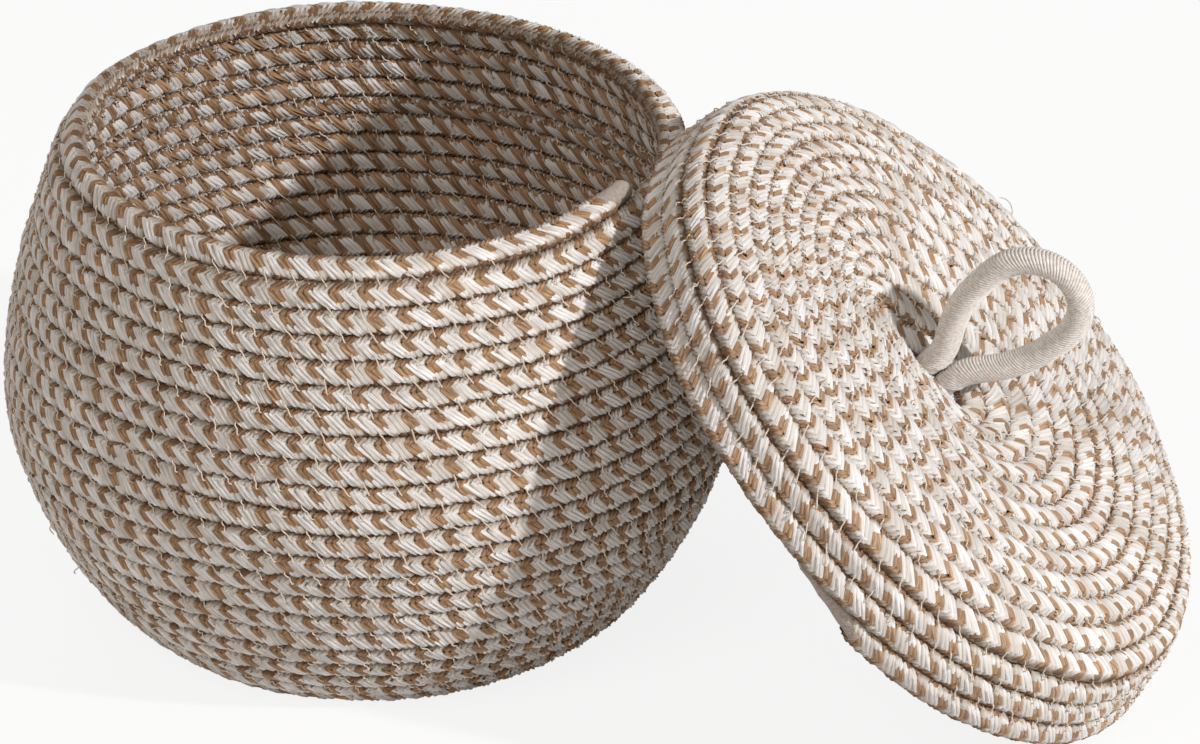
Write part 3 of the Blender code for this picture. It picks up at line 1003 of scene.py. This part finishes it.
def loop_route():
    """The loop's middle line in the frame of its hinge line, with the legs' round feet."""
    upper, lower = leg_places()
    leg, top = (lower - upper) / 2 - LOOP_FEET_GAP, LOOP_HEIGHT - LOOP_RADIUS
    rise = interpolate_bezier(
        Vector((leg, 0, 0)), Vector((leg, 0, top * LOOP_FOOT_RISE)),
        Vector((LOOP_RADIUS, 0, top * LOOP_SIDE_RISE)), Vector((LOOP_RADIUS, 0, top)), 24,
    )
    arc = [
        Vector((LOOP_RADIUS * math.cos(a), 0, top + LOOP_RADIUS * math.sin(a)))
        for a in (math.radians(7.5 * step) for step in range(1, 24))
    ]
    side = [Vector((leg, 0, -LOOP_FOOT_DEPTH)), *rise]
    route = side + arc + [Vector((-p.x, 0, p.z)) for p in reversed(side)]
    turned = []
    for point in route:
        turn = LOOP_TWIST * max(0, min(1, point.z / LOOP_TWIST_HEIGHT))
        turned.append(Matrix.Rotation(turn, 3, "Z") @ point)
    return turned


def ribbed_cord(name, points, thickness, look, radii=None):
    """A woven cord along these points, with fine slanting ribs."""
    radii = radii or [1] * len(points)
    body = tube(f"{name}_body", points, thickness * CORD_CORE_SHARE, look, radii, 4)
    curve = thread_curve(f"{name}_path", points, radii)
    rib = ring("rib", (thickness - RIB_THICKNESS) / 2, RIB_THICKNESS, RIB_SLANT, look, 4, 24)
    last = length_of(points) - RIB_MARGIN
    ribs = laid(f"{name}_ribs", rib, RIB_THICKNESS, curve, RIB_MARGIN, last)
    remove(rib, curve)
    return joined([body, ribs], name)


def cord_look(colours):
    return fibre_look("handle_cord", colours.cord, 900.0, 0.0004, 0.80)


class BASKET_OT_handle_loop(bpy.types.Operator):
    """Bends the ribbed cord into the loop that stands on the lid"""

    bl_idname = "basket.handle_loop"
    bl_label = "Handle Loop"

    def execute(self, context):
        sizes = context.scene.basket_sizes
        points = loop_route()
        radii = [0.96] + [1] * (len(points) - 2) + [0.96]
        look = cord_look(context.scene.basket_colours)
        loop = ribbed_cord("cord_loop", points, sizes.cord_thickness, look, radii)
        hinge = Matrix.Translation((sum(leg_places()) / 2, 0, -HINGE_BELOW_CROWN))
        dress(place(loop, LID_POSE @ hinge), ("handle_loop",), "handle")
        return {"FINISHED"}


def knot_route():
    """A closed three-lobed knot, about the knot's middle."""
    points = []
    for step in range(97):
        turn = math.tau * step / 96
        radius = KNOT_RADIUS + KNOT_LOBE * math.cos(3 * turn)
        points.append(round_axis(radius, 2 * turn, KNOT_RISE * math.sin(3 * turn)))
    return points


class BASKET_OT_handle_knot(bpy.types.Operator):
    """Ties the cord's two legs under the lid"""

    bl_idname = "basket.handle_knot"
    bl_label = "Handle Knot"

    def execute(self, context):
        sizes = context.scene.basket_sizes
        look = cord_look(context.scene.basket_colours)
        thickness = sizes.cord_thickness
        upper, lower = leg_places()
        middle = (upper + lower) / 2
        tied = ribbed_cord("cord_tied", knot_route(), thickness * 0.95, look)
        parts = [place(tied, Matrix.Translation((middle, 0, KNOT_MIDDLE)))]
        top = -HINGE_BELOW_CROWN - thickness / 2 - LOOP_FEET_GAP
        for index, at in enumerate((upper, lower)):
            reach = top - KNOT_MIDDLE
            leg = [Vector((at, 0, KNOT_MIDDLE + reach * step / 12)) for step in range(13)]
            parts.append(ribbed_cord(f"cord_leg_{index}", leg, thickness, look))
        for index, side in enumerate((1, -1)):
            tail = [
                Vector((
                    middle + side * (0.004 + 0.011 * share),
                    side * (0.003 + 0.007 * share ** 2),
                    KNOT_MIDDLE - 0.001 - 0.004 * share,
                ))
                for share in (step / 10 for step in range(11))
            ]
            parts.append(ribbed_cord(f"cord_tail_{index}", tail, thickness * 0.9, look))
        knot = joined(parts, "cord_knot")
        dress(place(knot, LID_POSE), ("handle_knot",), "lid")
        return {"FINISHED"}


# Loose threads


def loose_threads(name, path, places, look):
    """Thread ends that have worked out of the seams."""
    threads = []
    seams = seam_path(path)
    for index, (turns, reach) in enumerate(places):
        at, facing = seams[round(turns * POINTS_PER_TURN)]
        azimuth = math.atan2(at.y, at.x)
        out = round_axis(math.cos(facing), azimuth, math.sin(facing))
        along = Vector((-math.sin(azimuth), math.cos(azimuth), 0))
        seed = Vector((index * 1.7, turns, 2.2))
        bend = noise.noise_vector(seed) * reach
        start = at + out * 0.0020
        knots = (
            start,
            start + out * 0.004 + bend * 0.3,
            start + out * 0.003 + along * reach * 0.7 + bend,
            start + out * 0.0022 + along * reach + bend * 1.2 - Vector((0, 0, reach * 0.4)),
        )
        points = interpolate_bezier(*knots, 10)
        radii = [1] * 8 + [0.8, 0.5]
        threads.append(tube(f"{name}_{index}", points, LOOSE_THREAD_THICKNESS, look, radii))
    return joined(threads, name)


def scattered(path, first, spread, shortest, longer, count):
    """(turns, reach) of threads spread over this share of a path's turns from the first."""
    turns = len(path) / POINTS_PER_TURN - 1
    return [
        (turns * (first + spread * (i * GOLDEN_SHARE % 1)), shortest + longer * (i * 0.37 % 1))
        for i in range(count)
    ]


class BASKET_OT_loose_threads(bpy.types.Operator):
    """Leaves a few thread ends sticking out of the seams"""

    bl_idname = "basket.loose_threads"
    bl_label = "Loose Threads"

    def execute(self, context):
        sizes = context.scene.basket_sizes
        look = fibre_look("loose_thread", context.scene.basket_colours.thread, 2500.0, 0.0001)
        path = basket_path(sizes)
        places = scattered(path, 0.42, 0.56, 0.002, 0.002, 12)
        piece = loose_threads("loose_threads_basket", path, places, look)
        dress(piece, (), "basket")
        path = lid_path(sizes)
        places = scattered(path, 0.2, 0.78, 0.002, 0.003, 8)
        places += [(11.53, 0.007), (11.50, 0.006), (10.52, 0.006), (10.60, 0.005)]
        piece = loose_threads("loose_threads_lid", path, places, look)
        dress(place(piece, LID_POSE), (), "lid")
        return {"FINISHED"}


# The stage


SKY, SOFT_LIGHT = (1.0, 0.84, 0.70), (1.0, 0.96, 0.92)
SKY_STRENGTH, FLOOR_SIZE, FLOOR_WHITE = 0.17, 8, 0.86
LAMPS_MIDDLE = Vector((0.08, 0, 0.08))

# Name, strength as the share of a surface's own colour that the lamp adds at right angles,
# size, azimuth and elevation seen from the middle, distance, colour
LAMPS = (
    ("key", 0.83, 0.09, -14, 30, 2.0, (1, 1, 1)),
    ("fill", 0.32, 1.0, -100, 45, 1.8, SOFT_LIGHT),
    ("back", 0.20, 1.0, 130, 35, 1.8, (1, 1, 1)),
)

# The camera, fitted to the outlines in the photograph
CAMERA_AZIMUTH, CAMERA_ELEVATION = math.radians(15.67), math.radians(27.87)
CAMERA_MIDDLE, CAMERA_DISTANCE = Vector((0.0698, 0, 0.07974)), 1.786
FOCAL_PIXELS, IMAGE_WIDTH, SENSOR_WIDTH = 6103.8, 1200, 36


def towards(azimuth, elevation):
    """The direction with this azimuth and elevation in degrees."""
    up = math.radians(elevation)
    return round_axis(math.cos(up), math.radians(azimuth), math.sin(up))


def lit_and_shown(look, lit, shown, share=1.0):
    """One shader in the light that falls on things, mixed with another where it is seen."""
    camera, glossy, clear = (
        look.node("LightPath", None, None, ray)
        for ray in ("Is Camera Ray", "Is Glossy Ray", "Is Transmission Ray")
    )
    seen = camera.maths("MAXIMUM", camera.maths("MAXIMUM", camera, glossy), clear)
    mixed = look.node("MixShader", None, {0: seen * share, 1: lit, 2: shown})
    look.put(look.output.inputs["Surface"], mixed)


def backdrop_look(name, colour, share):
    """A pale floor that shows as white, with a trace of the shadows on it."""
    look = Look(name)
    look.finish(Base_Color=(*colour, 1), Roughness=0.9)
    white = look.node("Emission", None, {"Color": (1, 1, 1, 1), "Strength": 1.0})
    lit_and_shown(look, Value(look, look.shader.outputs[0]), white, share)
    return look.material


def studio_world(strength):
    world = bpy.data.worlds.new("studio")
    world.use_nodes = True
    look = Look("studio", world)
    light = look.node("Background", None, {"Color": (*SKY, 1), "Strength": strength})
    white = look.node("Background", None, {"Color": (1, 1, 1, 1), "Strength": 1.0})
    lit_and_shown(look, light, white)
    return world


class BASKET_OT_stage(bpy.types.Operator):
    """Sets the pale floor, the soft light and the camera"""

    bl_idname = "basket.stage"
    bl_label = "Stage"

    def execute(self, context):
        scene = context.scene
        deselect()
        bpy.ops.mesh.primitive_plane_add(size=FLOOR_SIZE, location=(0, 0, 0))
        floor = context.object
        floor.name = "floor"
        look = backdrop_look("floor", scene.basket_colours.floor, FLOOR_WHITE)
        floor.data.materials.append(look)
        scene.world = studio_world(SKY_STRENGTH)
        for name, strength, size, azimuth, elevation, distance, colour in LAMPS:
            data = bpy.data.lights.new(name, "AREA")
            data.energy = strength * math.pi ** 2 * distance ** 2
            data.size, data.shape, data.color = size, "DISK", colour
            lamp = bpy.data.objects.new(name, data)
            lamp.location = LAMPS_MIDDLE + distance * towards(azimuth, elevation)
            facing = LAMPS_MIDDLE - lamp.location
            lamp.rotation_euler = facing.to_track_quat("-Z", "Y").to_euler()
            scene.collection.objects.link(lamp)
        level = math.cos(CAMERA_ELEVATION)
        facing = Vector((
            -math.sin(CAMERA_AZIMUTH) * level,
            math.cos(CAMERA_AZIMUTH) * level,
            -math.sin(CAMERA_ELEVATION),
        ))
        data = bpy.data.cameras.new("camera")
        data.sensor_width = SENSOR_WIDTH
        data.lens = FOCAL_PIXELS * SENSOR_WIDTH / IMAGE_WIDTH
        camera = bpy.data.objects.new("camera", data)
        camera.location = CAMERA_MIDDLE - facing * CAMERA_DISTANCE
        camera.rotation_euler = facing.to_track_quat("-Z", "Y").to_euler()
        scene.collection.objects.link(camera)
        scene.camera = camera
        scene.view_settings.view_transform = "Standard"
        return {"FINISHED"}


OPERATORS = (
    BASKET_OT_basket_rope,
    BASKET_OT_lid_rope,
    BASKET_OT_sewing,
    BASKET_OT_rope_ends,
    BASKET_OT_handle_loop,
    BASKET_OT_handle_knot,
    BASKET_OT_loose_threads,
    BASKET_OT_stage,
)


class VIEW3D_PT_coiled_basket(bpy.types.Panel):
    """Sizes, colours and building steps of the basket"""

    bl_idname = "VIEW3D_PT_coiled_basket"
    bl_label = "Coiled Rope Basket"
    bl_space_type = "VIEW_3D"
    bl_region_type = "UI"
    bl_category = "Basket"

    def draw(self, context):
        for settings in (context.scene.basket_sizes, context.scene.basket_colours):
            box = self.layout.box()
            for name in settings.__annotations__:
                box.prop(settings, name)
        for operator in OPERATORS:
            self.layout.operator(operator.bl_idname)


CLASSES = (BasketSizes, BasketColours, *OPERATORS, VIEW3D_PT_coiled_basket)


def register():
    for cls in CLASSES:
        bpy.utils.register_class(cls)
    bpy.types.Scene.basket_sizes = bpy.props.PointerProperty(type=BasketSizes)
    bpy.types.Scene.basket_colours = bpy.props.PointerProperty(type=BasketColours)


def unregister():
    del bpy.types.Scene.basket_colours
    del bpy.types.Scene.basket_sizes
    for cls in reversed(CLASSES):
        bpy.utils.unregister_class(cls)


def main():
    register()
    bpy.ops.basket.basket_rope()
    bpy.ops.basket.lid_rope()
    bpy.ops.basket.sewing()
    bpy.ops.basket.rope_ends()
    bpy.ops.basket.handle_loop()
    bpy.ops.basket.handle_knot()
    bpy.ops.basket.loose_threads()
    bpy.ops.basket.stage()


if __name__ == "__main__":
    main()
